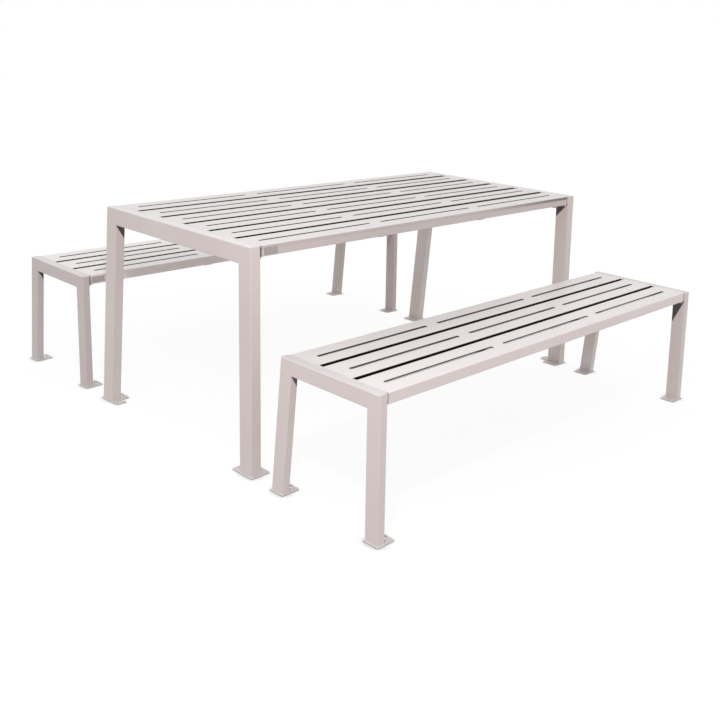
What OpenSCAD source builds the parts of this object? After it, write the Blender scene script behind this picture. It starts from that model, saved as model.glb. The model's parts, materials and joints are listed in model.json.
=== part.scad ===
// Steel picnic set: one table and two free-standing benches, each a welded piece of its own.
// A piece has two end frames of mitred rectangular tube, a deck of folded sheet planks
// between them, bars under the deck, and a plate under each leg that is anchored to the ground.
// X runs along the planks, Y from the front bench to the back bench, Z up from the ground.

/* [Set] */
// Length of the table and of both benches, over the end frames
set_length = 1800; // [1600:10:2400]
// Level gap between the edges of the table top and the front bench
front_bench_gap = 150; // [110:5:400]
// Level gap between the edges of the table top and the back bench
back_bench_gap = 175; // [110:5:400]

/* [Table] */
// Width of the table top
table_width = 800; // [700:10:1000]
// Height of the table top above the ground
table_height = 740; // [680:5:800]
// Size of the table's frame tube along X
table_tube_depth = 40; // [30:5:60]
// Size of the table's frame tube across its legs and rails
table_tube_width = 60; // [50:5:80]
// How far each table leg stands outside the top's edge at the ground
table_foot_spread = 35; // [10:1:45]
// How far a foot plate of the table reaches past its leg, both ways towards the middle
table_foot_arm = 36; // [30:1:60]

/* [Bench] */
// Width of a bench seat
bench_width = 400; // [340:10:500]
// Height of a bench seat above the ground
bench_height = 440; // [400:5:500]
// Size of a bench's frame tube along X
bench_tube_depth = 30; // [25:5:50]
// Size of a bench's frame tube across its legs and rails
bench_tube_width = 50; // [45:5:70]
// How far each bench leg stands outside the seat's edge at the ground
bench_foot_spread = 21; // [5:1:40]
// How far a foot plate of a bench reaches past its leg, along X towards the middle
bench_foot_arm = 41; // [30:1:60]

/* [Frame tube] */
// Wall of the frame tubes
tube_wall = 2; // [1.5:0.5:4]
// Outer radius of the tubes' corners
tube_corner = 4; // [1.5:0.5:5]

/* [Planks] */
// Thickness of the plank sheet
sheet = 2; // [1.5:0.5:4]
// Inner radius of the planks' folds
fold_radius = 1.5; // [1:0.5:4]
// Height of a plank's folded edges, with the sheet
flange = 35; // [28:1:38]
// Gap between planks
plank_gap = 12; // [8:1:16]
// How far the deck's long edges stay behind the frames' outer faces
deck_inset = 5; // [2:1:10]

/* [Slots] */
// Width of the drain slots
slot_width = 7.5; // [5:0.5:12]
// Distance from a frame's outer face to the first slot
slot_end = 90; // [75:5:150]
// Solid sheet between two slots of a row
slot_bridge = 60; // [40:5:120]

/* [Underside] */
// Thickness of the cross bars, and of both legs of the angle bars that carry the plank ends
bar_thickness = 8; // [4:1:8]
// Width of an angle bar's level leg, under the plank ends
rest_width = 30; // [20:5:50]
// How far the ends of an angle bar's upright leg stay behind the deck's long edges
rest_inset = 3; // [2:1:10]
// Width of the bars that cross under the planks between the slots
cross_bar_width = 40; // [25:5:60]
// How far the ends of all level bars and legs stay behind the deck's long edges
bar_inset = 20; // [10:1:40]

/* [Feet] */
// Thickness of the foot plates
foot_thickness = 3; // [2:1:10]
// Corner radius at the free end of a foot plate
foot_corner = 9; // [1:1:15]
// Ledge of the foot plate round the leg, for the weld
weld_ledge = 3; // [2:1:6]
// Diameter of the anchor holes
anchor_hole = 12; // [9:1:16]
// Distance from an anchor hole's centre to the free end of the plate
anchor_edge = 15; // [12:1:20]

/* [Hidden] */
$fn = 48;
LEFT = -1;
RIGHT = 1;
FRONT = -1;
BACK = 1;
SIDES_X = [LEFT, RIGHT];
SIDES_Y = [FRONT, BACK];
table_planks = 6;
bench_planks = 3;
slots_per_row = 3;
cut = 1;
paint = [0.87, 0.83, 0.82];

// The benches stand at equal distances from the origin, and the table between them.
table_y = (front_bench_gap - back_bench_gap) / 2;
front_bench_y = table_y - table_width / 2 - front_bench_gap - bench_width / 2;
back_bench_y = table_y + table_width / 2 + back_bench_gap + bench_width / 2;

slot_length = (set_length - 2 * slot_end - (slots_per_row - 1) * slot_bridge) / slots_per_row;
slot_pitch = slot_length + slot_bridge;

// A piece is [name, centre in Y, width, height, tube depth, tube width, foot spread, foot arm,
// whether its feet also reach inwards along Y, planks].
TABLE = ["table", table_y, table_width, table_height, table_tube_depth, table_tube_width,
    table_foot_spread, table_foot_arm, true, table_planks];
FRONT_BENCH = ["front_bench", front_bench_y, bench_width, bench_height, bench_tube_depth,
    bench_tube_width, bench_foot_spread, bench_foot_arm, false, bench_planks];
BACK_BENCH = ["back_bench", back_bench_y, bench_width, bench_height, bench_tube_depth,
    bench_tube_width, bench_foot_spread, bench_foot_arm, false, bench_planks];
PIECES = [TABLE, FRONT_BENCH, BACK_BENCH];

function centre_y(piece) = piece[1];
function width(piece) = piece[2];
function height(piece) = piece[3];
function tube_depth(piece) = piece[4];
function tube_width(piece) = piece[5];
function foot_spread(piece) = piece[6];
function foot_arm(piece) = piece[7];
function has_side_arm(piece) = piece[8];
function planks(piece) = piece[9];

// Names of the nodes
function side_x_name(side) = side == LEFT ? "left" : "right";
function side_y_name(side) = side == FRONT ? "front" : "back";
function end_name(piece, side_x, what) = str(piece[0], "_", side_x_name(side_x), "_", what);
function corner_name(piece, side_x, side_y, what) =
    str(piece[0], "_", side_x_name(side_x), "_", side_y_name(side_y), "_", what);
function plank_name(piece, index) = str(piece[0], "_plank_", index + 1);

// Angle of a leg from upright
function splay(piece) = atan(foot_spread(piece) / (height(piece) - foot_thickness));
// Width of a leg on the level, and how far a mitre reaches in from the frame's edge
function leg_width(piece) = tube_width(piece) / cos(splay(piece));
function mitre_reach(piece) = leg_width(piece) - tube_width(piece) * tan(splay(piece));
// Point [y, z] on the mitre line of the back corner, from 0 at its outer end to 1 at its inner end
function mitre_point(piece, t) =
    [width(piece) / 2 - t * mitre_reach(piece), height(piece) - t * tube_width(piece)];
// Middle and inner face of the right end frame
function frame_x(piece) = (set_length - tube_depth(piece)) / 2;
function frame_inner_x(piece) = set_length / 2 - tube_depth(piece);
function deck_width(piece) = width(piece) - 2 * deck_inset;
function plank_width(piece) =
    (deck_width(piece) - (planks(piece) - 1) * plank_gap) / planks(piece);
function plank_y(piece, index) =
    (index - (planks(piece) - 1) / 2) * (plank_width(piece) + plank_gap);

// Extrudes an outline drawn in [y, z] along X, centred
module along_x(length) {
    rotate([90, 0, 90])
        linear_extrude(length, center = true)
            children();
}

module rounded_rectangle(size_x, size_y, radius) {
    square([size_x - 2 * radius, size_y], center = true);
    square([size_x, size_y - 2 * radius], center = true);
    for (x = [-1, 1], y = [-1, 1])
        translate([x * (size_x / 2 - radius), y * (size_y / 2 - radius)])
            circle(radius);
}

module tube_outline(piece) {
    inner_radius = max(tube_corner - tube_wall, 0.5);
    difference() {
        rounded_rectangle(tube_depth(piece), tube_width(piece), tube_corner);
        rounded_rectangle(tube_depth(piece) - 2 * tube_wall, tube_width(piece) - 2 * tube_wall,
            inner_radius);
    }
}

// Top rail of an end frame, mitred to both legs
module rail(piece, side_x) {
    corners = [for (t = [-0.5, 1.5]) mitre_point(piece, t)];
    color(paint)
        translate([side_x * frame_x(piece), 0, 0])
            intersection() {
                translate([0, 0, height(piece) - tube_width(piece) / 2])
                    rotate([90, 0, 0])
                        linear_extrude(width(piece) + 2 * cut, center = true)
                            tube_outline(piece);
                along_x(tube_depth(piece) + 2 * cut)
                    polygon([
                        corners[0],
                        [-corners[0].x, corners[0].y],
                        [-corners[1].x, corners[1].y],
                        corners[1],
                    ]);
            }
}

// Splayed leg, mitred to the rail and cut level on its foot plate
module leg(piece, side_x, side_y) {
    top_corners = [for (t = [-0.5, 1.5]) mitre_point(piece, t)];
    outside = width(piece) / 2 + foot_spread(piece) + tube_width(piece);
    color(paint)
        translate([side_x * frame_x(piece), 0, 0])
            rotate([0, 0, side_y == BACK ? 0 : 180])
                intersection() {
                    translate([0, width(piece) / 2, height(piece)])
                        rotate([splay(piece), 0, 0])
                            translate([0, -tube_width(piece) / 2, 0])
                                linear_extrude(2.2 * height(piece), center = true)
                                    tube_outline(piece);
                    along_x(tube_depth(piece) + 2 * cut)
                        polygon([
                            top_corners[0],
                            top_corners[1],
                            [top_corners[1].x, foot_thickness],
                            [outside, foot_thickness],
                        ]);
                }
}

// Strip of plate from the origin along X, with its far corners rounded
module foot_strip(length, strip_width) {
    square([length - foot_corner, strip_width]);
    translate([0, foot_corner])
        square([length, strip_width - 2 * foot_corner]);
    for (y = [foot_corner, strip_width - foot_corner])
        translate([length - foot_corner, y])
            circle(foot_corner);
}

// Foot plate of the left front leg, seen from the leg's outer corner
module foot_outline(piece) {
    leg_x = tube_depth(piece);
    leg_y = tube_width(piece);
    difference() {
        translate([-weld_ledge, -weld_ledge]) {
            foot_strip(leg_x + foot_arm(piece) + weld_ledge, leg_y + 2 * weld_ledge);
            if (has_side_arm(piece))
                mirror([1, -1])
                    foot_strip(leg_y + foot_arm(piece) + weld_ledge, leg_x + 2 * weld_ledge);
        }
        translate([leg_x + foot_arm(piece) - anchor_edge, leg_y / 2])
            circle(d = anchor_hole);
        if (has_side_arm(piece))
            translate([leg_x / 2, leg_y + foot_arm(piece) - anchor_edge])
                circle(d = anchor_hole);
    }
}

module foot(piece, side_x, side_y) {
    outer_y = width(piece) / 2 + foot_spread(piece);
    color(paint)
        mirror([side_x == RIGHT ? 1 : 0, 0, 0])
            mirror([0, side_y == BACK ? 1 : 0, 0])
                translate([-set_length / 2, -outer_y, 0])
                    linear_extrude(foot_thickness)
                        foot_outline(piece);
}

// Top and sides of a folded sheet, down from the origin, with rounded upper corners
module folded_outline(outline_width, depth, radius) {
    translate([-outline_width / 2, -depth])
        square([outline_width, depth - radius]);
    translate([-outline_width / 2 + radius, -radius])
        square([outline_width - 2 * radius, radius]);
    for (side = SIDES_Y)
        translate([side * (outline_width / 2 - radius), -radius])
            circle(radius);
}

module plank_outline(plank_w) {
    difference() {
        folded_outline(plank_w, flange, fold_radius + sheet);
        translate([0, -sheet])
            folded_outline(plank_w - 2 * sheet, flange, fold_radius);
    }
}

module drain_slot() {
    straight = slot_length - slot_width;
    linear_extrude(2 * sheet + 2 * cut, center = true) {
        square([straight, slot_width], center = true);
        for (end = SIDES_X)
            translate([end * straight / 2, 0])
                circle(d = slot_width);
    }
}

// Folded plank with a row of slots, as long as the room between the angle bars
module plank(piece, index) {
    color(paint)
        translate([0, plank_y(piece, index), height(piece)])
            difference() {
                along_x(2 * (frame_inner_x(piece) - bar_thickness))
                    plank_outline(plank_width(piece));
                for (i = [0 : slots_per_row - 1])
                    translate([(i - (slots_per_row - 1) / 2) * slot_pitch, 0, 0])
                        drain_slot();
            }
}

// Leg of an angle bar, from the rail's inner face at the origin towards the middle
module rest_leg(piece, size_x, size_z, inset) {
    rotate([90, 0, 0])
        linear_extrude(deck_width(piece) - 2 * inset, center = true)
            square([size_x, size_z]);
}

// Angle bar on the rail's inner face: its upright leg closes the gaps between the planks flush
// with the deck, and its level leg, cut back at both ends, carries the planks' folded edges
module plank_rest(piece, side_x) {
    upright = flange + bar_thickness;
    color(paint)
        translate([side_x * frame_inner_x(piece), 0, height(piece) - upright])
            mirror([side_x == RIGHT ? 1 : 0, 0, 0]) {
                rest_leg(piece, bar_thickness, upright, rest_inset);
                rest_leg(piece, rest_width, bar_thickness, bar_inset);
            }
}

// Flat bar that ties the planks together under the solid sheet between the slots
module cross_bar(piece, side_x) {
    color(paint)
        translate([side_x * slot_pitch / 2, 0, height(piece) - flange - bar_thickness / 2])
            cube([cross_bar_width, deck_width(piece) - 2 * bar_inset, bar_thickness], center = true);
}

for (piece = PIECES)
    translate([0, centre_y(piece), 0]) {
        for (side_x = SIDES_X) {
            rail(piece, side_x);
            plank_rest(piece, side_x);
            cross_bar(piece, side_x);
            for (side_y = SIDES_Y) {
                leg(piece, side_x, side_y);
                foot(piece, side_x, side_y);
            }
        }
        for (index = [0 : planks(piece) - 1])
            plank(piece, index);
    }
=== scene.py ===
"""Finish, welds and studio for a steel picnic set: a table and two benches in pale powder coat."""

import json
import math

import bmesh
import bpy
from bpy.props import FloatProperty, FloatVectorProperty, PointerProperty
from mathutils import Matrix, Vector, noise


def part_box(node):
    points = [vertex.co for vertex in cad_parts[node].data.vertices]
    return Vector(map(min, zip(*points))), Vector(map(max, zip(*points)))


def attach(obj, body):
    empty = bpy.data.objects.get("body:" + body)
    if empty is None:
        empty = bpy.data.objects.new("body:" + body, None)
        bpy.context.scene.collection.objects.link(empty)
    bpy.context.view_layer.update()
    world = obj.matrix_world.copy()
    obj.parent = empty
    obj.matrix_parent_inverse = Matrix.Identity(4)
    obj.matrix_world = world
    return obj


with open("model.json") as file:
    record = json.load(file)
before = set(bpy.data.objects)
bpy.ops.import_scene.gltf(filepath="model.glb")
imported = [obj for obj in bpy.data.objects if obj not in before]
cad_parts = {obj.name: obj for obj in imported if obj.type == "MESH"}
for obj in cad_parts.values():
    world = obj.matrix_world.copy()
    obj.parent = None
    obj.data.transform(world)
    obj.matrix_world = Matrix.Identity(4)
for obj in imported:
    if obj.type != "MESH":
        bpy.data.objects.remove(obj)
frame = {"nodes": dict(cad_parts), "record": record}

bl_info = {
    "name": "Steel picnic set",
    "version": (1, 0, 0),
    "blender": (4, 5, 0),
    "location": "3D View > Sidebar > Picnic set",
    "description": "Powder coat, welds and studio for a steel table with two benches",
    "category": "Object",
}

PHOTO_PIXELS = 720
SENSOR_MM = 36.0
MM_PER_METRE = 1000
FLOOR_HALF = 20.0
# A hair's breadth, by which masks and tests reach past a face
HAIR = 0.0002
# Noise scales of the coat's clouds, of the patches of its painted top light, and of its mottling,
# waves and ripples
CLOUD_SCALE = 2.5
TOP_LIGHT_SCALE = 9
MOTTLE_SCALE = 30
WAVE_SCALE = 450
RIPPLE_SCALE = 1600
# Noise scales of the bare metal's patches and grain
PATCH_SCALE = 160
GRAIN_SCALE = 900
# A weld bead's rings: their sides, their swell in turn and at random, and the size of the end ones
RING_SIDES = 8
RIPPLE_SWELL = 0.07
UNEVEN_SWELL = 0.06
UNEVEN_SCALE = 80
END_SWELL = 0.45
# The flush fill's rings: the distance between them, and of the end ones from the bar's ends
SEAM_STEP = 0.004
SEAM_INSET = 0.001
PIECES = ("table", "front_bench", "back_bench")
SIDES_X = ("left", "right")
SIDES_Y = ("front", "back")
PLANKS = {piece: sorted(name for name in frame["nodes"] if name.startswith(piece + "_plank_")
                        and name[-1].isdigit()) for piece in PIECES}
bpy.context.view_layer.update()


class Socket:
    """An output socket with arithmetic, so that shader maths reads as Python."""

    def __init__(self, nodes, output):
        self.nodes = nodes
        self.output = output

    def math(self, operation, *others):
        return self.nodes.add("ShaderNodeMath", {"operation": operation}, self, *others)

    def __add__(self, other):
        return self.math("ADD", other)

    def __radd__(self, other):
        return self.math("ADD", other)

    def __mul__(self, other):
        return self.math("MULTIPLY", other)

    def __rmul__(self, other):
        return self.math("MULTIPLY", other)

    def __sub__(self, other):
        return self.math("SUBTRACT", other)

    def __rsub__(self, other):
        return self.nodes.add("ShaderNodeMath", {"operation": "SUBTRACT"}, other, self)

    def __abs__(self):
        return self.math("ABSOLUTE")

    def hypot(self, other):
        return (self * self + other * other).math("SQRT")

    def ramp(self, low, high):
        """0 below low and 1 above high, with a smooth rise between."""
        settings = {"interpolation_type": "SMOOTHSTEP"}
        return self.nodes.add("ShaderNodeMapRange", settings, self, low, high, 0.0, 1.0)

    def fall(self, low, high):
        """1 below low and 0 above high, with a smooth fall between."""
        return 1 - self.ramp(low, high)

    def reaches(self, place):
        """1 from a hair short of place onwards, for a face that lies there."""
        return self.ramp(place - 2 * HAIR, place - HAIR)


def largest(mask, *others):
    """The largest of some masks, at each place."""
    for other in others:
        mask = mask.math("MAXIMUM", other)
    return mask


class Nodes:
    """Node tree of one material or world, emptied and ready for new nodes."""

    def __init__(self, tree):
        self.tree = tree
        tree.nodes.clear()

    def add(self, kind, settings, *values, out=0, **named):
        """A new node's output; its settings are set first, then its sockets, in order or by name."""
        node = self.tree.nodes.new(kind)
        for key, value in settings.items():
            setattr(node, key, value)
        sockets = [socket for socket in node.inputs if socket.enabled]
        for socket, value in zip(sockets, values):
            self.plug(socket, value)
        for key, value in named.items():
            self.plug(node.inputs[key.replace("_", " ")], value)
        outputs = [socket for socket in node.outputs if socket.enabled]
        return Socket(self, outputs[out]) if outputs else None

    def plug(self, socket, value):
        if isinstance(value, Socket):
            self.tree.links.new(value.output, socket)
        else:
            socket.default_value = value

    def mix(self, factor, first, second):
        return self.add("ShaderNodeMix", {"data_type": "RGBA"}, factor, first, second)

    def noise(self, at, scale, detail=2.0):
        return self.add("ShaderNodeTexNoise", {}, Vector=at, Scale=scale, Detail=detail)

    def split(self, vector):
        node = self.tree.nodes.new("ShaderNodeSeparateXYZ")
        self.tree.links.new(vector.output, node.inputs[0])
        return [Socket(self, output) for output in node.outputs]

    def place(self):
        """Object coordinates, and their X, Y and Z."""
        at = self.add("ShaderNodeTexCoord", {}, out=3)
        return at, self.split(at)

    def facing(self):
        """X, Y and Z of the direction that a face looks in."""
        return self.split(self.add("ShaderNodeNewGeometry", {}, out=1))

    def seen_directly(self):
        """1 for what the camera sees, also by reflection, and 0 for light that falls on things."""
        path = self.tree.nodes.new("ShaderNodeLightPath")
        kinds = ("Is Camera Ray", "Is Glossy Ray", "Is Transmission Ray")
        return largest(*[Socket(self, path.outputs[kind]) for kind in kinds])


def rgba(colour):
    return (*colour, 1.0)


def grey(level):
    return (level, level, level, 1.0)


def length(name, description, default):
    return FloatProperty(name=name, description=description, unit="LENGTH", default=default)


def factor(name, description, default):
    return FloatProperty(
        name=name, description=description, subtype="FACTOR", min=0, max=1, default=default)


def colour(name, description, default):
    return FloatVectorProperty(
        name=name, description=description, subtype="COLOR", size=3, min=0, max=1,
        default=default)


class PaintSettings(bpy.types.PropertyGroup):
    paint: colour("Paint", "Colour of the powder coat", (0.71, 0.62, 0.60))
    cloud: colour("Clouding", "Colour of the coat's faint darker clouds", (0.68, 0.588, 0.566))
    # Painted light: the upward faces are painted in this paler colour, as if lit from above
    chalk: colour("Chalk", "Paler colour of the faces that lie open to the sky", (0.80, 0.755, 0.745))
    # Painted shade: the near black that the masks paint into gaps, slots, slits, channels, sheltered
    # corners and the foot plates' edges
    hollow: colour("Hollow", "Colour where little coat gets, as in the gaps", (0.015, 0.011, 0.01))
    # Painted light: how patchy that paler colour of the upward faces is
    dust: factor("Dust", "How far the amount of pale dust varies from place to place", 0.15)
    roughness: factor("Roughness", "Roughness of the powder coat", 0.42)
    mottle: factor("Mottle", "How far the roughness varies from place to place", 0.12)
    coat: factor("Gloss", "Amount of the coat's own clear gloss", 0.35)
    coat_roughness: factor("Gloss roughness", "Roughness of the clear gloss", 0.3)
    peel: length("Orange peel", "Depth of the coat's fine waves", 0.00002)
    ripple: factor("Ripples", "Depth of the ripples on those waves, as a share of it", 0.4)
    edge: length("Edge", "Radius that the coat gives to cut edges", 0.0008)
    sheet: length("Sheet", "Thickness of the planks' sheet", 0.002)
    bend: length("Bend", "Width of the planks' rounded edges", 0.003)
    # Painted shade on the decks, in gaps, slots, channels and slits: below, a dark rim or a thin or
    # missing coat means painted shade, and the full coat means none
    skirt_foot: length("Skirt foot", "Height of the full coat over the planks' lower edges", 0.004)
    outer_strip: length("Outer strip", "Width of the full coat along the deck's outer edges", 0.02)
    slot_width: length("Slot width", "Width of the drain slots", 0.0075)
    slot_length: length("Slot length", "Length of the drain slots", 0.5)
    slot_pitch: length("Slot pitch", "Distance between the middles of a row's slots", 0.56)
    table_rim: length("Table slot rim", "Width of the dark rim round the table's slots", 0.0025)
    bench_rim: length("Bench slot rim", "Width of the dark rim round the benches' slots", 0.0036)
    table_gap_rim: length("Table gap rim", "Width of a gap's dark rim at the right end", 0.009)
    bench_gap_rim: length("Bench gap rim", "Width of a gap's dark rim at the right end", 0.005)
    gap_depth: length("Gap depth", "Depth in a gap down to which the coat is thin", 0.014)
    gap_fade: length("Gap fade", "Height over which the coat below that gets full", 0.004)
    bench_lip: length("Bench lip", "Depth where the coat thins out in the benches' gaps", 0.00005)
    # Painted shade on the table's skirts just under the deck's edge, stronger towards the right end
    lee: factor("Lee", "How much darker the table's skirt is just under the deck's edge", 0.1)
    lee_far: factor("Far lee", "How much more of that shade the skirt's right end has", 0.6)
    lee_depth: length("Lee depth", "Depth down to which that shade is even", 0.008)
    lee_fade: length("Lee fade", "Height over which that shade ends", 0.01)
    table_channel: factor("Table channels", "How much coat the table's inner faces lack", 0.35)
    bench_channel: factor("Bench channels", "How much coat the benches' inner faces lack", 0.75)
    table_slit: factor("Table slits", "How much coat the table's slits beside the legs lack", 1.0)
    bench_slit: factor("Bench slits", "How much coat the benches' slits beside the legs lack", 0.7)
    slit_top: length("Slit top", "Depth below the deck's top where the slits' thin coat begins", 0.007)
    # Painted shadows in the sheltered corners of the legs, under the decks and under the rails
    corner: factor("Corners", "How much darker the sheltered corners of the legs are", 0.9)
    back_corner: factor("Back corners", "The same under the back bench's deck", 0.3)
    table_corner: FloatProperty(
        name="Table corners", description="Height over width of the corners under the table's deck",
        default=1.15)
    bench_corner: FloatProperty(
        name="Bench corners", description="Height over width of the corners under a bench's deck",
        default=2.3)
    rail_corner: FloatProperty(
        name="Rail corners", description="Height over width of the corners under the rails",
        default=1.5)
    corner_soft: length("Corner softness", "Width over which those corners fade", 0.006)
    # Painted shade on the foot plates' cut edges and the faces that don't look up
    foot_edge: factor("Foot edges", "How much darker the cut edges of the foot plates are", 0.3)
    # Painted light and shade: each piece's coat is made lighter or darker, on its frame, rail tops,
    # plank sides and deck top, to follow the light on that piece
    table_tone: FloatVectorProperty(
        name="Table tones", description="Tone of the frame, rail tops, plank sides and deck top",
        size=4, default=(1.0, 1.0, 0.88, 0.97))
    front_tone: FloatVectorProperty(
        name="Front bench tones", description="Tone of the frame, rail tops, plank sides and deck top",
        size=4, default=(1.03, 0.93, 1.18, 1.1))
    back_tone: FloatVectorProperty(
        name="Back bench tones", description="Tone of the frame, rail tops, plank sides and deck top",
        size=4, default=(0.86, 0.95, 1.2, 1.14))


class WeldSettings(bpy.types.PropertyGroup):
    foot_bead: length("Foot bead", "Radius of the bead round a leg on its foot plate", 0.0024)
    foot_corner: length("Foot corner", "Radius of that bead's turns round the leg's edges", 0.004)
    seam_out: length("Seam", "Distance of the flush fill's middle from the angle bar", 0.0019)
    seam_half: length("Seam width", "Half the width of the flush fill", 0.0034)
    seam_drop: length("Seam depth", "Depth of the flush fill's middle", 0.0011)
    seam_thick: length("Seam thickness", "Half the thickness of the flush fill", 0.0009)
    slit_overlap: length("Slit fill", "How far a slit's fill lies over the angle bar", 0.002)
    slit_inset: length("Slit inset", "Distance of a slit's fill from the planks' faces", 0.0004)
    stitch_bead: length("Stitch bead", "Radius of the stitches under the deck", 0.002)
    stitch: length("Stitch", "Length of a stitch under the deck", 0.018)
    ripple: length("Ripple", "Distance between the ripples of a bead", 0.0022)


class PlateSettings(bpy.types.PropertyGroup):
    width: length("Width", "Width of a label plate", 0.054)
    height: length("Height", "Height of a label plate", 0.022)
    thickness: length("Thickness", "Thickness of a label plate", 0.0014)
    corner: length("Corner", "Corner radius of a label plate", 0.003)
    rim: length("Rim", "Width of the raised rim", 0.0015)
    edge: length("Edge", "Width of the bevel inside the rim", 0.0003)
    drop: length("Drop", "Distance from the deck's top to the plate's upper edge", 0.008)
    table_x: length("Table plate", "Left end of the table's plate", -0.840)
    bench_x: length("Bench plate", "Left end of the back bench's plate", -0.858)
    steel: colour("Metal", "Colour of the plate's bare metal", (0.41, 0.36, 0.35))
    patch_tone: FloatProperty(
        name="Patches", description="Tone of the metal's lighter patches", default=1.25)
    metallic: factor("Metallic", "How metallic the plate's surface is", 0.6)
    roughness: factor("Roughness", "Least roughness of the metal", 0.42)
    grain_roughness: factor("Grain roughness", "How much rougher the grain makes it", 0.2)
    grain: factor("Grain", "How strongly the grain shows", 0.6)
    grain_depth: length("Grain depth", "Depth of the grain", 0.0001)


class StudioSettings(bpy.types.PropertyGroup):
    focal_pixels: FloatProperty(
        name="Focal length", description="Focal length in pixels of the picture",
        default=957.1)
    centre_u: FloatProperty(
        name="Centre across", description="Optical centre from the picture's left edge, in pixels",
        default=310.0)
    centre_v: FloatProperty(
        name="Centre down", description="Optical centre from the picture's top edge, in pixels",
        default=250.0)
    place: FloatVectorProperty(
        name="Camera", description="Place of the camera", subtype="XYZ", unit="LENGTH",
        size=3, default=(-2.7133, -2.5482, 1.3784))
    yaw: FloatProperty(
        name="Yaw", description="Turn of the view from +Y towards +X",
        subtype="ANGLE", default=0.7676)
    pitch: FloatProperty(
        name="Pitch", description="Tilt of the view below the horizon",
        subtype="ANGLE", default=0.2241)
    roll: FloatProperty(
        name="Roll", description="Turn of the picture", subtype="ANGLE", default=0.0405)
    key_place: FloatVectorProperty(
        name="Key lamp", description="Place of the key lamp", subtype="XYZ", unit="LENGTH",
        size=3, default=(-1.95, -1.56, 2.07))
    key_size: length("Key size", "Diameter of the key lamp", 0.12)
    key_power: FloatProperty(
        name="Key power", description="Power of the key lamp", subtype="POWER", default=70.0)
    sky: FloatProperty(
        name="Sky", description="Strength of the even light from all round", default=0.79)
    floor_glow: factor("Floor glow", "Strength of the even light that the floor sends up", 0.54)
    floor_shadow: factor("Floor shadow", "Part of the floor's white that a shadow takes away", 0.12)
    floor_white: factor("Floor white", "Part of the floor's white that wide shadows leave", 0.91)
    contact: length("Contact shadow", "Width of the narrow shadow round the foot plates", 0.024)


def toned(colour, lightness):
    """A colour made lighter or darker by a factor."""
    return [min(1, lightness * c) for c in colour]


def own(piece, settings, value):
    """The table's or the benches' own value of a setting that they don't share."""
    return getattr(settings, ("table_" if piece == "table" else "bench_") + value)


def light_tones(piece, settings):
    """Painted light and shade: how much lighter or darker one piece's frame, rail tops, plank sides
    and deck top are painted.
    """
    return {
        "table": settings.table_tone,
        "front_bench": settings.front_tone,
        "back_bench": settings.back_tone,
    }[piece]


def paint_material(name, settings, edge=True, painted_shade=None, lightness=1.0, top_light_tone=1.0):
    """Powder coat; edge rounds cut edges, an optional mask by place paints shade into the colour, and
    two factors paint the whole coat and its upward faces lighter or darker.
    """
    material = bpy.data.materials.new(name)
    material.use_nodes = True
    nodes = Nodes(material.node_tree)
    at, place = nodes.place()
    clouds = nodes.noise(at, scale=CLOUD_SCALE, detail=3.0).ramp(0.35, 0.7)
    # Painted light and shade: the piece's factor makes the whole coat lighter or darker
    coat = nodes.mix(clouds, rgba(toned(settings.paint, lightness)), rgba(toned(settings.cloud, lightness)))
    # Painted light: the upward faces get the paler top colour, in patches
    lit_from_above = nodes.facing()[2].ramp(0.5, 0.95)
    dust = (1 - settings.dust) + settings.dust * nodes.noise(at, scale=TOP_LIGHT_SCALE)
    coat = nodes.mix(lit_from_above * dust, coat, rgba(toned(settings.chalk, top_light_tone)))
    finish = {"Coat_Weight": settings.coat}
    # Painted shade: where the mask lies, the coat goes towards near black, and its clear gloss gives
    # way to a dark metal finish
    if painted_shade:
        painted_shade_amount = painted_shade(*place)
        coat = nodes.mix(painted_shade_amount, coat, rgba(settings.hollow))
        finish = {"Coat_Weight": settings.coat * (1 - painted_shade_amount), "Metallic": painted_shade_amount}
    waves = nodes.noise(at, scale=WAVE_SCALE, detail=1.0)
    ripples = nodes.noise(at, scale=RIPPLE_SCALE, detail=1.0)
    height = waves + settings.ripple * ripples
    bump = {"Height": height, "Strength": 1.0, "Distance": settings.peel}
    if edge:
        bump["Normal"] = nodes.add("ShaderNodeBevel", {"samples": 4}, settings.edge)
    unevenness = settings.mottle * (nodes.noise(at, scale=MOTTLE_SCALE) - 0.5)
    surface = nodes.add(
        "ShaderNodeBsdfPrincipled", {}, Base_Color=coat, Roughness=settings.roughness + unevenness,
        Coat_Roughness=settings.coat_roughness,
        Normal=nodes.add("ShaderNodeBump", {}, **bump), **finish)
    nodes.add("ShaderNodeOutputMaterial", {}, Surface=surface)
    return material


def plate_material(settings):
    """Dull bare metal of the label plates."""
    material = bpy.data.materials.new("plate_metal")
    material.use_nodes = True
    nodes = Nodes(material.node_tree)
    at = nodes.place()[0]
    grain = nodes.noise(at, scale=GRAIN_SCALE, detail=3.0)
    patches = nodes.noise(at, scale=PATCH_SCALE).ramp(0.3, 0.75)
    lighter = toned(settings.steel, settings.patch_tone)
    surface = nodes.add(
        "ShaderNodeBsdfPrincipled", {},
        Base_Color=nodes.mix(patches, rgba(settings.steel), rgba(lighter)),
        Metallic=settings.metallic,
        Roughness=settings.roughness + settings.grain_roughness * grain,
        Normal=nodes.add(
            "ShaderNodeBump", {}, Height=grain, Strength=settings.grain,
            Distance=settings.grain_depth))
    nodes.add("ShaderNodeOutputMaterial", {}, Surface=surface)
    return material


def below_slit_top(depth, settings):
    """Mask of the depths at which the slits beside the legs get painted shade."""
    return depth.ramp(0.6 * settings.slit_top, settings.slit_top)


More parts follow.
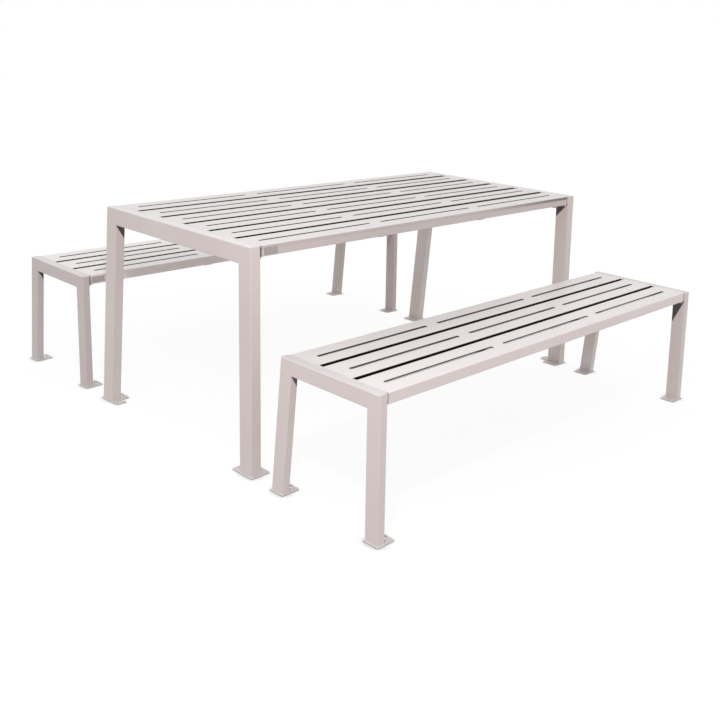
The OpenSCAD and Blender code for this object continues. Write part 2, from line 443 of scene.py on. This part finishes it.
class DeckShade:
    """Mask of the painted shade on one deck: in its gaps, slots and channels, on its left ends and, on
    the table, under the deck's edge.
    """

    def __init__(self, piece, settings):
        self.piece = piece
        self.settings = settings
        first, second, last = [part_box(PLANKS[piece][i]) for i in (0, 1, -1)]
        self.top = first[1].z
        self.end = first[1].x
        self.skirt = first[1].z - first[0].z
        self.pitch = second[0].y - first[0].y
        self.half_gap = (second[0].y - first[1].y) / 2
        self.first_gap = (second[0].y + first[1].y) / 2
        self.middle = (first[0].y + last[1].y) / 2
        self.half_deck = (last[1].y - first[0].y) / 2

    def __call__(self, x, y, z):
        depth = self.top - z
        # A gap's place in front of the deck, so that the whole deck lies on one side of it
        start = self.first_gap - 20 * self.pitch
        from_gap = (y - start).math("PINGPONG", self.pitch / 2)
        from_middle = abs(y - self.middle)
        masks = [
            self.gaps(x, from_gap, from_middle, depth), self.slots(x, from_gap, depth),
            self.channels(from_gap, depth), self.left_ends(x, depth)]
        if self.piece == "table":
            masks.append(self.lee(x, from_middle, depth))
        return largest(*masks)

    def gaps(self, x, from_gap, from_middle, depth):
        """Painted shade on the rounded edges of a gap, and on a rim beside them that widens towards
        the right end.
        """
        settings = self.settings
        edge = self.half_gap + settings.bend
        rim = own(self.piece, settings, "gap_rim") * x.ramp(-self.end, self.end)
        mask = from_gap.fall(edge, edge + 0.1 * settings.bend + rim)
        inside = self.half_deck - settings.outer_strip
        mask = mask * from_middle.fall(inside, inside + 5 * HAIR)
        mask = mask * depth.fall(settings.gap_depth, settings.gap_depth + settings.gap_fade)
        if self.piece != "table":
            mask = mask * depth.ramp(settings.bench_lip, 3 * settings.bench_lip)
        return mask

    def slots(self, x, from_gap, depth):
        """Painted shade on the cut edges of the slots, and on a rim round them."""
        settings = self.settings
        across = self.pitch / 2 - from_gap
        straight = (settings.slot_length - settings.slot_width) / 2
        along = (x.math("PINGPONG", settings.slot_pitch / 2) - straight).math("MAXIMUM", 0.0)
        from_slot = across.hypot(along) - settings.slot_width / 2
        rim = own(self.piece, settings, "rim")
        return from_slot.fall(0.4 * rim, rim) * depth.fall(settings.sheet, settings.sheet + HAIR)

    def channels(self, from_gap, depth):
        """Painted shade on the planks' inner faces, down to just above their lower edges."""
        settings = self.settings
        sheet, foot = settings.sheet, settings.skirt_foot
        mask = from_gap.reaches(self.half_gap + sheet) * depth.ramp(0.6 * sheet, 0.9 * sheet)
        mask = mask * depth.fall(self.skirt - foot, self.skirt - foot / 4)
        return own(self.piece, settings, "channel") * mask

    def left_ends(self, x, depth):
        """Painted shade on the planks' left ends, in the slit beside the rail."""
        slit = own(self.piece, self.settings, "slit") * below_slit_top(depth, self.settings)
        return slit * (-1 * x).reaches(self.end)

    def lee(self, x, from_middle, depth):
        """Painted shade on the upper part of the skirts, more so towards their right end."""
        settings = self.settings
        bend, deep = settings.bend, settings.lee_depth
        skirt = from_middle.ramp(self.half_deck - 0.4 * bend, self.half_deck - 0.13 * bend)
        band = depth.ramp(bend / 3, bend) * depth.fall(deep, deep + settings.lee_fade)
        return skirt * band * (settings.lee + settings.lee_far * x.ramp(0.2 * self.end, self.end))


def slit_shade(piece, settings):
    """Mask of the painted shade on the ends of one deck's angle bars, in the slits beside the legs."""
    low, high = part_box(piece + "_left_plank_rest")
    middle, half = (low.y + high.y) / 2, (high.y - low.y) / 2

    def mask(x, y, z):
        slit = own(piece, settings, "slit") * below_slit_top(high.z - z, settings)
        return slit * abs(y - middle).reaches(half)

    return mask


def corner_shade(piece, settings):
    """Mask of the painted shadows in the sheltered corners on one piece's legs, under its deck and
    under its rails.
    """
    deck_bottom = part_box(PLANKS[piece][0])[0].z
    low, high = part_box(piece + "_right_rail")
    middle, half = (low.y + high.y) / 2, (high.y - low.y) / 2
    leg_x, leg_y = high.x - low.x, high.z - low.z
    deck_slope, rail_slope = own(piece, settings, "corner"), settings.rail_corner
    deck_corner = settings.back_corner if piece == "back_bench" else settings.corner

    def corner(z, bottom, slope, along, inward, leg):
        """Shade on a leg's inner face, from bottom down to a slanted line.

        along is the distance from the piece's outside over the face, and the line drops by slope
        times that. inward is the distance across the face, which the leg's outer face lacks."""
        mask = (slope * along + z - bottom).ramp(0.0, settings.corner_soft)
        mask = mask * inward.ramp(0.5 * leg, 0.6 * leg)
        return mask * z.fall(bottom, bottom + 5 * HAIR)

    def mask(x, y, z):
        face_x, face_y = [abs(side).ramp(0.6, 0.8) for side in x.nodes.facing()[:2]]
        from_side = half - abs(y - middle)
        from_end = high.x - abs(x)
        under_deck = face_x * corner(z, deck_bottom, deck_slope, from_side, from_end, leg_x)
        under_rail = face_y * corner(z, low.z, rail_slope, from_end, from_side, leg_y)
        return largest(deck_corner * under_deck, settings.corner * under_rail)

    return mask


def edge_shade(settings):
    """Mask of the painted shade on the foot plates' cut edges and on their faces that don't look up.
    """
    return lambda x, y, z: settings.foot_edge * x.nodes.facing()[2].fall(0.3, 0.7)


def finish_piece(name, form, material):
    """Turns a bmesh into an object that rides on the set."""
    bmesh.ops.recalc_face_normals(form, faces=form.faces)
    mesh = bpy.data.meshes.new(name)
    form.to_mesh(mesh)
    form.free()
    mesh.polygons.foreach_set("use_smooth", [True] * len(mesh.polygons))
    mesh.materials.append(material)
    piece = bpy.data.objects.new(name, mesh)
    bpy.context.collection.objects.link(piece)
    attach(piece, "root")


def bead(form, points, across, up, closed=False):
    """Weld bead: a ring at each point, square to the run and joined to the next.

    across and up are the ring's half widths; up points away from the seat as +Z does."""
    rings = []
    ring_edges = []
    count = len(points)
    for i, point in enumerate(points):
        after = points[(i + 1) % count] if closed or i < count - 1 else point
        before = points[i - 1] if closed or i > 0 else point
        along = (after - before).normalized()
        side = along.cross(Vector((0, 0, 1))).normalized()
        uneven = noise.noise(UNEVEN_SCALE * point)
        swell = 1 + RIPPLE_SWELL * math.cos(math.pi * i) + UNEVEN_SWELL * uneven
        if not closed and i in (0, count - 1):
            swell = END_SWELL
        turn = Matrix((side * across * swell, Vector((0, 0, up * swell)), along)).transposed()
        ring = bmesh.ops.create_circle(
            form, segments=RING_SIDES, radius=1,
            matrix=Matrix.Translation(point) @ turn.to_4x4())["verts"]
        rings.append(ring)
        ring_edges.append(list(dict.fromkeys(edge for vert in ring for edge in vert.link_edges)))
    following = ring_edges[1:] + ring_edges[:1] if closed else ring_edges[1:]
    for edges, next_edges in zip(ring_edges, following):
        bmesh.ops.bridge_loops(form, edges=edges + next_edges)
    if not closed:
        form.faces.new(rings[0])
        form.faces.new(rings[-1])


def steps(low, high, spacing):
    """Even steps from low to high, about spacing apart."""
    count = max(2, round((high - low) / spacing))
    return [low + (high - low) * i / count for i in range(count + 1)]


def rounded_loop(low, high, radius, spacing):
    """Points round a level rectangle with round corners, an even number of them."""
    points = []
    corners = ((high.x, high.y, 0), (low.x, high.y, 90), (low.x, low.y, 180), (high.x, low.y, 270))
    turns = max(2, round(radius * math.pi / 2 / spacing))
    for cx, cy, start in corners:
        mid_x = cx - math.copysign(radius, cx - (low.x + high.x) / 2)
        mid_y = cy - math.copysign(radius, cy - (low.y + high.y) / 2)
        for i in range(turns + 1):
            angle = math.radians(start + 90 * i / turns)
            points.append(Vector((
                mid_x + radius * math.cos(angle), mid_y + radius * math.sin(angle), low.z)))
    filled = []
    for point, after in zip(points, points[1:] + points[:1]):
        count = max(1, round((after - point).length / spacing))
        filled += [point.lerp(after, i / count) for i in range(count)]
    even = len(filled) - len(filled) % 2
    return filled[:even]


class PICNIC_OT_paint_frames(bpy.types.Operator):
    """Paint the tubes, foot plates and bars"""
    bl_idname = "picnic.paint_frames"
    bl_label = "Paint the frames"

    def execute(self, context):
        settings = context.scene.picnic_paint
        plain = paint_material("plain_paint", settings)
        # Painted shade on the foot plates' cut edges
        feet = paint_material("foot_paint", settings, painted_shade=edge_shade(settings))
        for piece in PIECES:
            # Painted light and shade: this piece's lighter or darker frame and rail tops
            lightness, top_light_tone = light_tones(piece, settings)[:2]
            paints = {
                "rail": paint_material(
                    piece + "_rail_paint", settings, edge=False, lightness=lightness, top_light_tone=top_light_tone),
                # Painted shadows in the legs' sheltered corners
                "leg": paint_material(
                    piece + "_leg_paint", settings, edge=False, lightness=lightness,
                    painted_shade=corner_shade(piece, settings)),
                "foot": feet,
                # Painted shade in the slits at the angle bars' left ends
                "left_plank_rest": paint_material(
                    piece + "_rest_paint", settings, painted_shade=slit_shade(piece, settings)),
            }
            for name in [name for name in frame["nodes"] if name.startswith(piece)]:
                own_paint = [paint for end, paint in paints.items() if name.endswith(end)]
                frame["nodes"][name].data.materials.clear()
                frame["nodes"][name].data.materials.append(own_paint[0] if own_paint else plain)
        return {"FINISHED"}


class PICNIC_OT_paint_decks(bpy.types.Operator):
    """Paint the folded planks, with painted shade inside their gaps and slots"""
    bl_idname = "picnic.paint_decks"
    bl_label = "Paint the decks"

    def execute(self, context):
        settings = context.scene.picnic_paint
        for piece in PIECES:
            # Painted light and shade: this piece's lighter or darker plank sides and deck top, and
            # painted shade in the gaps, slots, channels and slits
            lightness, top_light_tone = light_tones(piece, settings)[2:]
            paint = paint_material(
                piece + "_deck_paint", settings, lightness=lightness, top_light_tone=top_light_tone,
                painted_shade=DeckShade(piece, settings))
            for name in PLANKS[piece]:
                frame["nodes"][name].data.materials.clear()
                frame["nodes"][name].data.materials.append(paint)
        return {"FINISHED"}


class PICNIC_OT_foot_welds(bpy.types.Operator):
    """Lay a bead round each leg on its foot plate"""
    bl_idname = "picnic.foot_welds"
    bl_label = "Weld the feet"

    def execute(self, context):
        settings = context.scene.picnic_welds
        paint = bpy.data.materials["plain_paint"]
        for piece in PIECES:
            for side_x in SIDES_X:
                for side_y in SIDES_Y:
                    corner = f"{piece}_{side_x}_{side_y}"
                    form = bmesh.new()
                    low, high = self.sole(corner)
                    loop = rounded_loop(low, high, settings.foot_corner, settings.ripple)
                    bead(form, loop, settings.foot_bead, settings.foot_bead, closed=True)
                    finish_piece(corner + "_foot_weld", form, paint)
        return {"FINISHED"}

    def sole(self, corner):
        """Corners of the leg's level outline where it stands on its plate."""
        mesh = frame["nodes"][corner + "_leg"].data
        bottom = min(v.co.z for v in mesh.vertices)
        sole = [v.co for v in mesh.vertices if v.co.z < bottom + HAIR / 2]
        low = Vector((min(p.x for p in sole), min(p.y for p in sole), bottom))
        high = Vector((max(p.x for p in sole), max(p.y for p in sole), bottom))
        return low, high


class PICNIC_OT_deck_welds(bpy.types.Operator):
    """Fill the seam between each rail and the angle bar on it, ground flush"""
    bl_idname = "picnic.deck_welds"
    bl_label = "Weld the decks to the rails"

    def execute(self, context):
        settings = context.scene.picnic_welds
        paint = bpy.data.materials["plain_paint"]
        for piece in PIECES:
            for side_x, outward in zip(SIDES_X, (-1, 1)):
                low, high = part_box(f"{piece}_{side_x}_plank_rest")
                seam = (low.x if outward < 0 else high.x) + outward * settings.seam_out
                form = bmesh.new()
                run = [Vector((seam, y, high.z - settings.seam_drop))
                       for y in steps(low.y + SEAM_INSET, high.y - SEAM_INSET, SEAM_STEP)]
                bead(form, run, settings.seam_half, settings.seam_thick)
                self.close_slit(form, settings, piece, low, high)
                finish_piece(f"{piece}_{side_x}_deck_weld", form, paint)
        return {"FINISHED"}

    def close_slit(self, form, settings, piece, low, high):
        """Thin fill over both ends of an angle bar, out to the planks' faces."""
        first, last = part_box(PLANKS[piece][0]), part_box(PLANKS[piece][-1])
        thick = max(first[0].x - low.x, high.x - first[1].x)
        x = low.x + thick / 2 if low.x < 0 else high.x - thick / 2
        for bar, face, out in ((low.y, first[0].y, -1), (high.y, last[1].y, 1)):
            run = [bar - out * settings.slit_overlap, bar + out * settings.slit_overlap / 2,
                   face - out * 2 * settings.slit_inset, face - out * settings.slit_inset]
            points = [Vector((x, y, high.z - settings.seam_drop)) for y in run]
            bead(form, points, thick / 2, settings.seam_thick)


class PICNIC_OT_bar_welds(bpy.types.Operator):
    """Stitch the planks' folded edges to the bars under them"""
    bl_idname = "picnic.bar_welds"
    bl_label = "Weld the bars"

    def execute(self, context):
        settings = context.scene.picnic_welds
        paint = bpy.data.materials["plain_paint"]
        for piece in PIECES:
            skirts = (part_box(PLANKS[piece][0])[0].y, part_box(PLANKS[piece][-1])[1].y)
            for side_x in SIDES_X:
                for bar in ("plank_rest", "cross_bar"):
                    name = f"{piece}_{side_x}_{bar}"
                    low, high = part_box(name)
                    form = bmesh.new()
                    for plank in PLANKS[piece]:
                        plank_low, plank_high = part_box(plank)
                        x = (max(low.x, plank_low.x) + min(high.x, plank_high.x)) / 2
                        for y in (plank_low.y, plank_high.y):
                            if y not in skirts:
                                self.stitch(form, settings, x, y, plank_low.z)
                    finish_piece(name + "_welds", form, paint)
        return {"FINISHED"}

    def stitch(self, form, settings, x, y, z):
        """One stitch along X, with its middle at x."""
        half = settings.stitch / 2
        run = [Vector((at, y, z)) for at in steps(x - half, x + half, settings.ripple)]
        bead(form, run, settings.stitch_bead, settings.stitch_bead)


class PICNIC_OT_label_plates(bpy.types.Operator):
    """Set the two small bare plates on the decks' front edges"""
    bl_idname = "picnic.label_plates"
    bl_label = "Set the label plates"

    def execute(self, context):
        settings = context.scene.picnic_plates
        metal = plate_material(settings)
        for piece, left in (("table", settings.table_x), ("back_bench", settings.bench_x)):
            low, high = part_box(piece + "_plank_1")
            centre = Vector((left + settings.width / 2, low.y - settings.thickness / 2,
                             high.z - settings.drop - settings.height / 2))
            finish_piece(piece + "_label_plate", self.plate(settings, centre), metal)
        return {"FINISHED"}

    def plate(self, settings, centre):
        """Plate with round corners and a raised rim, its back on the plank's face."""
        form = bmesh.new()
        size = Matrix.Diagonal((settings.width, settings.thickness, settings.height, 1))
        bmesh.ops.create_cube(form, size=1, matrix=Matrix.Translation(centre) @ size)
        corners = [edge for edge in form.edges
                   if abs((edge.verts[0].co - edge.verts[1].co).y) > settings.thickness / 2]
        bmesh.ops.bevel(
            form, geom=corners, offset=settings.corner, offset_type="OFFSET", affect="EDGES",
            segments=5, profile=0.5, material=-1)
        front = min(form.faces, key=lambda face: face.calc_center_median().y)
        bmesh.ops.inset_region(form, faces=[front], thickness=settings.rim)
        inner = min(form.faces, key=lambda face: (face.calc_center_median().y, -face.calc_area()))
        edges = list(inner.edges)
        bmesh.ops.translate(form, verts=inner.verts, vec=(0, settings.thickness / 3, 0))
        bmesh.ops.bevel(
            form, geom=edges, offset=settings.edge, offset_type="OFFSET", affect="EDGES",
            segments=2, profile=0.5, material=-1)
        return form


class PICNIC_OT_studio(bpy.types.Operator):
    """Set the floor, the lamp and the camera"""
    bl_idname = "picnic.studio"
    bl_label = "Set up the studio"

    def execute(self, context):
        settings = context.scene.picnic_studio
        self.floor(settings)
        self.world(context.scene, settings)
        self.lamp(settings)
        self.camera(context.scene, settings)
        context.scene.view_settings.view_transform = "Standard"
        return {"FINISHED"}

    def floor(self, settings):
        """Pale floor: white with the set's shadows to the camera, and an even glow on the set."""
        form = bmesh.new()
        bmesh.ops.create_grid(form, x_segments=1, y_segments=1, size=FLOOR_HALF)
        mesh = bpy.data.meshes.new("floor")
        form.to_mesh(mesh)
        form.free()
        floor = bpy.data.objects.new("floor", mesh)
        bpy.context.collection.objects.link(floor)
        material = bpy.data.materials.new("floor")
        material.use_nodes = True
        nodes = Nodes(material.node_tree)
        glow = nodes.add("ShaderNodeEmission", {}, Color=grey(1), Strength=settings.floor_glow)
        near = nodes.add("ShaderNodeAmbientOcclusion", {"samples": 16}, grey(1), settings.contact)
        near = nodes.mix(self.anchor_holes(nodes), near, grey(1))
        shadow = nodes.add("ShaderNodeBsdfDiffuse", {}, Color=grey(settings.floor_shadow))
        white = nodes.add("ShaderNodeEmission", {}, Color=near, Strength=settings.floor_white)
        shown = nodes.add("ShaderNodeAddShader", {}, shadow, white)
        both = nodes.add("ShaderNodeMixShader", {}, nodes.seen_directly(), glow, shown)
        nodes.add("ShaderNodeOutputMaterial", {}, Surface=both)
        mesh.materials.append(material)

    def anchor_holes(self, nodes):
        """1 on the floor inside the foot plates' holes, where it shows bright, and 0 outside."""
        x, y = nodes.place()[1][:2]
        holes = []
        for mount in frame["record"]["mounts"]:
            if mount["kind"] == "bolt_pattern":
                dims = mount["dims"]
                across = abs(x - mount["pos_m"][0]) - dims["spacing_x_mm"] / 2 / MM_PER_METRE
                along = abs(y - mount["pos_m"][1]) - dims["spacing_y_mm"] / 2 / MM_PER_METRE
                radius = dims["hole_r_mm"] / MM_PER_METRE
                holes.append(across.hypot(along).fall(radius, 1.1 * radius))
        return largest(*holes)

    def world(self, scene, settings):
        world = bpy.data.worlds.new("studio")
        world.use_nodes = True
        nodes = Nodes(world.node_tree)
        level = nodes.add(
            "ShaderNodeMix", {"data_type": "FLOAT"}, nodes.seen_directly(), settings.sky, 1.0)
        light = nodes.add("ShaderNodeBackground", {}, Color=grey(1), Strength=level)
        nodes.add("ShaderNodeOutputWorld", {}, Surface=light)
        scene.world = world

    def lamp(self, settings):
        light = bpy.data.lights.new("key", "POINT")
        light.shadow_soft_size = settings.key_size / 2
        light.energy = settings.key_power
        lamp = bpy.data.objects.new("key", light)
        lamp.location = settings.key_place
        bpy.context.collection.objects.link(lamp)

    def camera(self, scene, settings):
        data = bpy.data.cameras.new("camera")
        data.sensor_width = SENSOR_MM
        data.lens = settings.focal_pixels * SENSOR_MM / PHOTO_PIXELS
        data.shift_x = 0.5 - settings.centre_u / PHOTO_PIXELS
        data.shift_y = settings.centre_v / PHOTO_PIXELS - 0.5
        camera = bpy.data.objects.new("camera", data)
        yaw = Matrix.Rotation(-settings.yaw, 4, "Z")
        pitch = Matrix.Rotation(math.pi / 2 - settings.pitch, 4, "X")
        roll = Matrix.Rotation(settings.roll, 4, "Z")
        camera.matrix_world = Matrix.Translation(settings.place) @ yaw @ pitch @ roll
        bpy.context.collection.objects.link(camera)
        scene.camera = camera


OPERATORS = (
    PICNIC_OT_paint_frames,
    PICNIC_OT_paint_decks,
    PICNIC_OT_foot_welds,
    PICNIC_OT_deck_welds,
    PICNIC_OT_bar_welds,
    PICNIC_OT_label_plates,
    PICNIC_OT_studio,
)


class PICNIC_PT_panel(bpy.types.Panel):
    """Steps that dress the picnic set, in order"""
    bl_idname = "PICNIC_PT_panel"
    bl_label = "Picnic set"
    bl_space_type = "VIEW_3D"
    bl_region_type = "UI"
    bl_category = "Picnic set"

    def draw(self, context):
        for operator in OPERATORS:
            self.layout.operator(operator.bl_idname)


GROUPS = {
    "picnic_paint": PaintSettings,
    "picnic_welds": WeldSettings,
    "picnic_plates": PlateSettings,
    "picnic_studio": StudioSettings,
}
CLASSES = (*GROUPS.values(), *OPERATORS, PICNIC_PT_panel)


def register():
    for item in CLASSES:
        bpy.utils.register_class(item)
    for name, group in GROUPS.items():
        setattr(bpy.types.Scene, name, PointerProperty(type=group))


def unregister():
    for name in GROUPS:
        delattr(bpy.types.Scene, name)
    for item in reversed(CLASSES):
        bpy.utils.unregister_class(item)


def main():
    register()
    bpy.ops.picnic.paint_frames()
    bpy.ops.picnic.paint_decks()
    bpy.ops.picnic.foot_welds()
    bpy.ops.picnic.deck_welds()
    bpy.ops.picnic.bar_welds()
    bpy.ops.picnic.label_plates()
    bpy.ops.picnic.studio()


if __name__ == "__main__":
    main()
